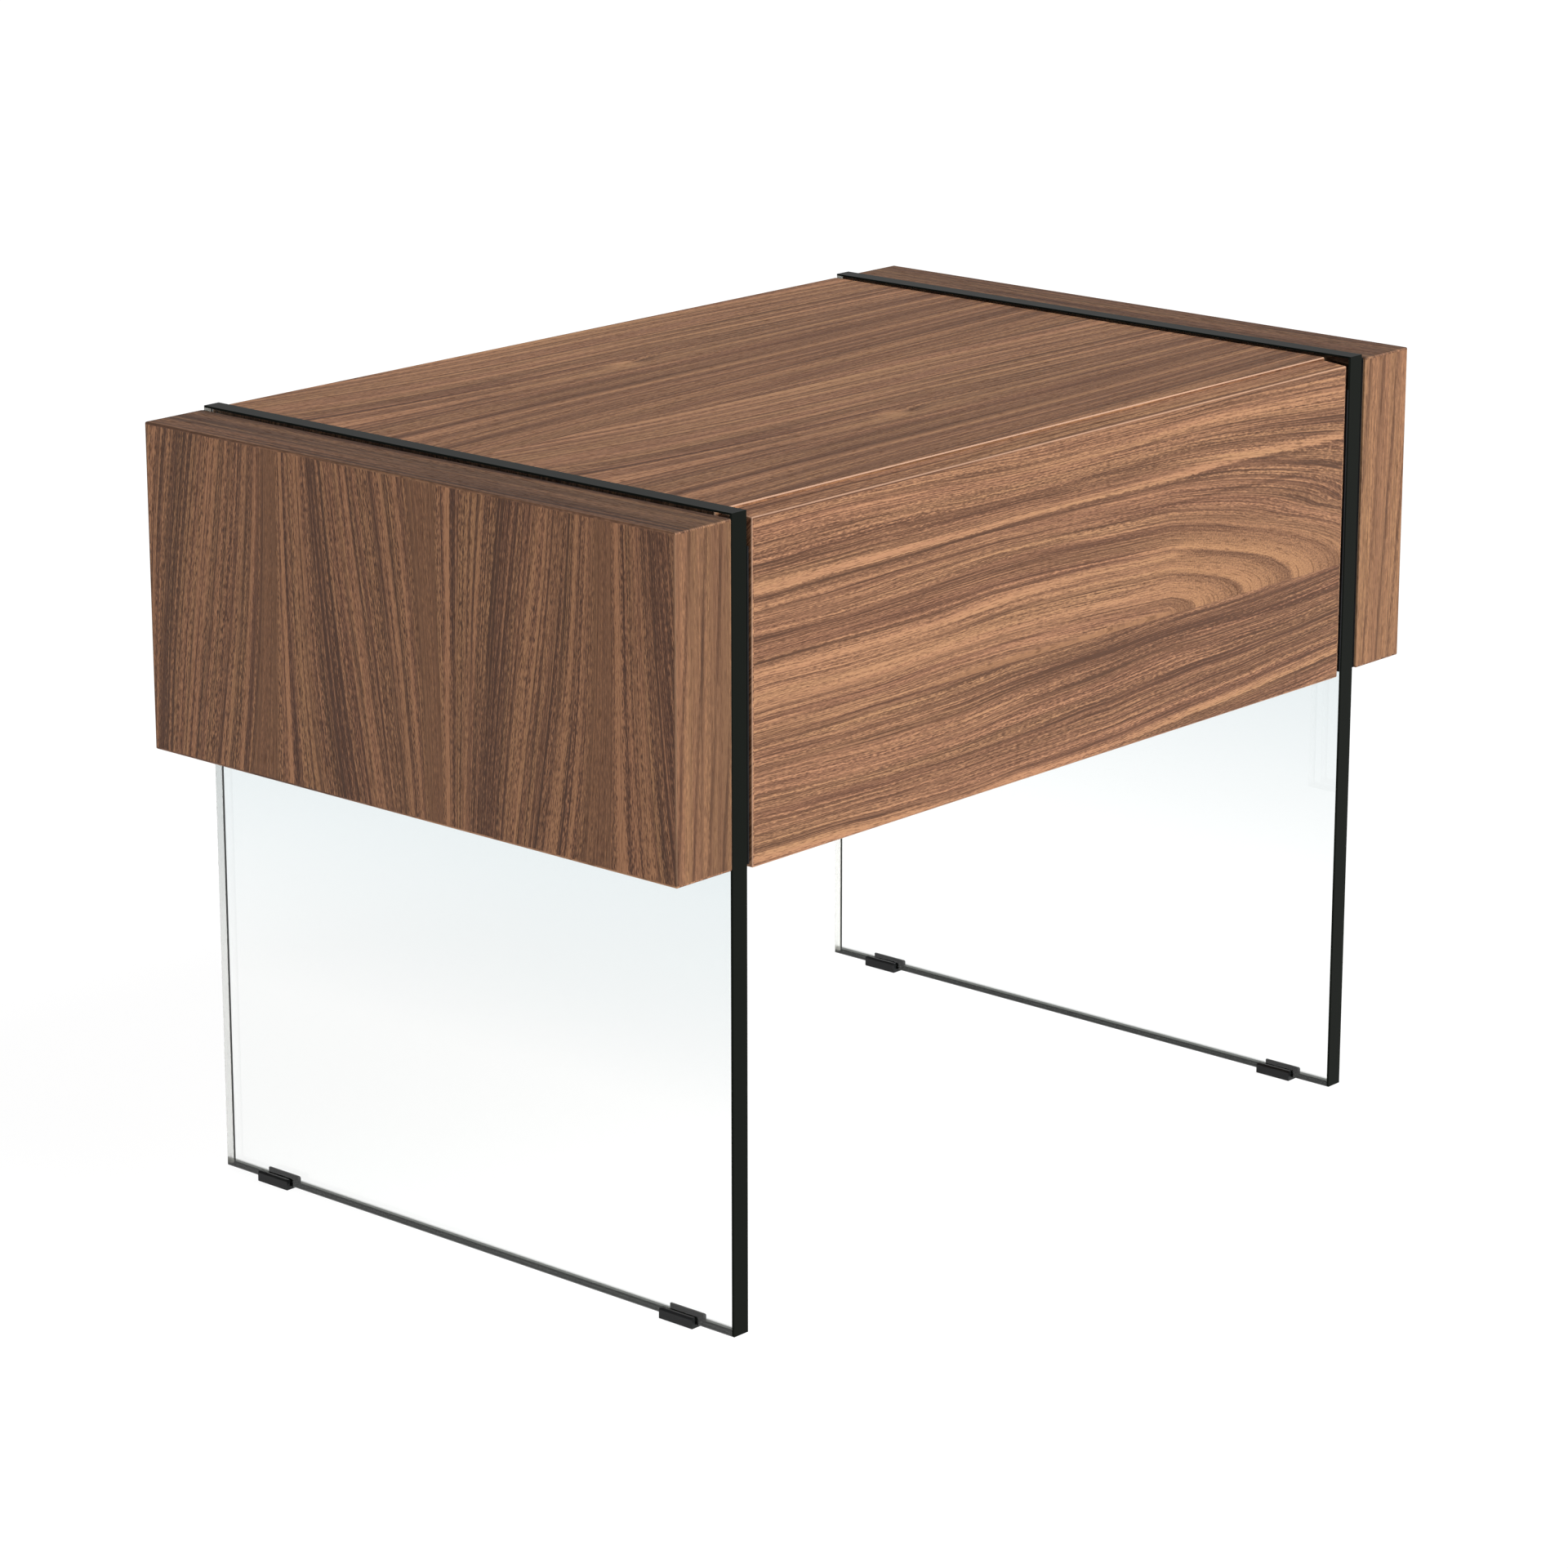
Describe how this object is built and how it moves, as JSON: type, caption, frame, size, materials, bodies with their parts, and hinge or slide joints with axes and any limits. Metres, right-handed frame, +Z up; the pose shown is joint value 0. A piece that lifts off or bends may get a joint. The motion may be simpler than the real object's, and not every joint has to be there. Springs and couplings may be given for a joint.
{
  "type": "side table with drawer",
  "caption": "Low side table with a veneered top and one handleless drawer, carried between two upright glass sheets that serve as its legs.",
  "frame": {"origin": "on the floor under the centre of the table's outline", "axes": "+X towards the table's right as seen from the front, +Y towards the back, +Z up; the drawer opens towards -Y"},
  "size_m": [0.6, 0.377, 0.427],
  "materials": {
    "clear_glass": "clear polished tempered glass, ground and polished edges",
    "black_plastic": "fine moulded texture",
    "black_rubber": "dull sheet",
    "walnut_upright": "straight-grained walnut veneer, satin lacquer, upright grain",
    "walnut_dark_edge": "darker walnut veneer strip, satin lacquer",
    "walnut_light_edge": "lighter walnut veneer strip, upright grain, satin lacquer",
    "walnut_top": "streaky walnut veneer, grain along the width, satin lacquer",
    "walnut_top_edge": "walnut veneer strip, satin lacquer",
    "walnut_front": "flat-cut walnut veneer, grain along the width, satin lacquer",
    "walnut_front_edge": "walnut veneer strip, satin lacquer",
    "walnut_back": "walnut veneer, satin lacquer",
    "fibreboard": "bare fibreboard",
    "case_board": "walnut-faced board, satin lacquer",
    "drawer_board": "light hardwood board, clear lacquer",
    "drawer_floor_board": "light plywood, clear lacquer",
    "beech_dowel": "bare fluted beech",
    "zinc_steel": "bright zinc plate",
    "cage_steel": "plain cold-rolled strip",
    "bearing_steel": "polished balls, light grease",
    "bolt_steel": "zinc plate",
    "brass_insert": "machined brass",
    "natural_plastic": "translucent natural nylon"
  },
  "bodies": {
    "table": {"left_glass_panel": "clear_glass", "left_front_shoe": "black_plastic", "left_back_shoe": "black_plastic", "left_outer_gasket": "black_rubber", "left_inner_gasket": "black_rubber", "left_block_face": "walnut_upright", "left_block_backer": "fibreboard", "left_block_core": "fibreboard", "left_block_level_edging": "walnut_dark_edge", "left_block_upright_edging": "walnut_light_edge", "left_case_side": "case_board", "left_cabinet_rail": "zinc_steel", "right_glass_panel": "clear_glass", "right_front_shoe": "black_plastic", "right_back_shoe": "black_plastic", "right_outer_gasket": "black_rubber", "right_inner_gasket": "black_rubber", "right_block_face": "walnut_upright", "right_block_backer": "fibreboard", "right_block_core": "fibreboard", "right_block_level_edging": "walnut_dark_edge", "right_block_upright_edging": "walnut_light_edge", "right_case_side": "case_board", "right_cabinet_rail": "zinc_steel", "leg_bolts": "bolt_steel", "glass_bushes": "natural_plastic", "threaded_inserts": "brass_insert", "case_dowels": "beech_dowel", "drawer_bumpers": "natural_plastic", "cabinet_rail_screws": "bolt_steel", "top_panel": "walnut_top", "top_panel_edging": "walnut_top_edge", "case_bottom": "case_board", "case_back": "walnut_back"},
    "drawer": {"left_drawer_rail": "zinc_steel", "left_drawer_side": "drawer_board", "right_drawer_rail": "zinc_steel", "right_drawer_side": "drawer_board", "drawer_box_dowels": "beech_dowel", "drawer_rail_screws": "bolt_steel", "drawer_front_screws": "bolt_steel", "drawer_front": "walnut_front", "drawer_front_edging": "walnut_front_edge", "drawer_box_front": "drawer_board", "drawer_box_back": "drawer_board", "drawer_floor": "drawer_floor_board"},
    "left_slide_middle": {"left_middle_rail": "zinc_steel"},
    "left_outer_cage": {"left_outer_ball_cage": "cage_steel", "left_outer_balls": "bearing_steel"},
    "left_inner_cage": {"left_inner_ball_cage": "cage_steel", "left_inner_balls": "bearing_steel"},
    "right_slide_middle": {"right_middle_rail": "zinc_steel"},
    "right_outer_cage": {"right_outer_ball_cage": "cage_steel", "right_outer_balls": "bearing_steel"},
    "right_inner_cage": {"right_inner_ball_cage": "cage_steel", "right_inner_balls": "bearing_steel"}
  },
  "joints": [
    {"name": "drawer_slide", "type": "slide", "parent": "table", "child": "drawer", "axis": [0, -1, 0], "range_m": [0, 0.28]},
    {"name": "left_slide_middle_travel", "type": "slide", "parent": "table", "child": "left_slide_middle", "axis": [0, -1, 0], "range_m": [0, 0.14]},
    {"name": "left_outer_cage_travel", "type": "slide", "parent": "table", "child": "left_outer_cage", "axis": [0, -1, 0], "range_m": [0, 0.07]},
    {"name": "left_inner_cage_travel", "type": "slide", "parent": "table", "child": "left_inner_cage", "axis": [0, -1, 0], "range_m": [0, 0.21]},
    {"name": "right_slide_middle_travel", "type": "slide", "parent": "table", "child": "right_slide_middle", "axis": [0, -1, 0], "range_m": [0, 0.14]},
    {"name": "right_outer_cage_travel", "type": "slide", "parent": "table", "child": "right_outer_cage", "axis": [0, -1, 0], "range_m": [0, 0.07]},
    {"name": "right_inner_cage_travel", "type": "slide", "parent": "table", "child": "right_inner_cage", "axis": [0, -1, 0], "range_m": [0, 0.21]}
  ],
  "couplings": [
    {"joint": "left_slide_middle_travel", "follows": "drawer_slide", "ratio": 0.5},
    {"joint": "left_outer_cage_travel", "follows": "drawer_slide", "ratio": 0.25},
    {"joint": "left_inner_cage_travel", "follows": "drawer_slide", "ratio": 0.75},
    {"joint": "right_slide_middle_travel", "follows": "drawer_slide", "ratio": 0.5},
    {"joint": "right_outer_cage_travel", "follows": "drawer_slide", "ratio": 0.25},
    {"joint": "right_inner_cage_travel", "follows": "drawer_slide", "ratio": 0.75}
  ]
}
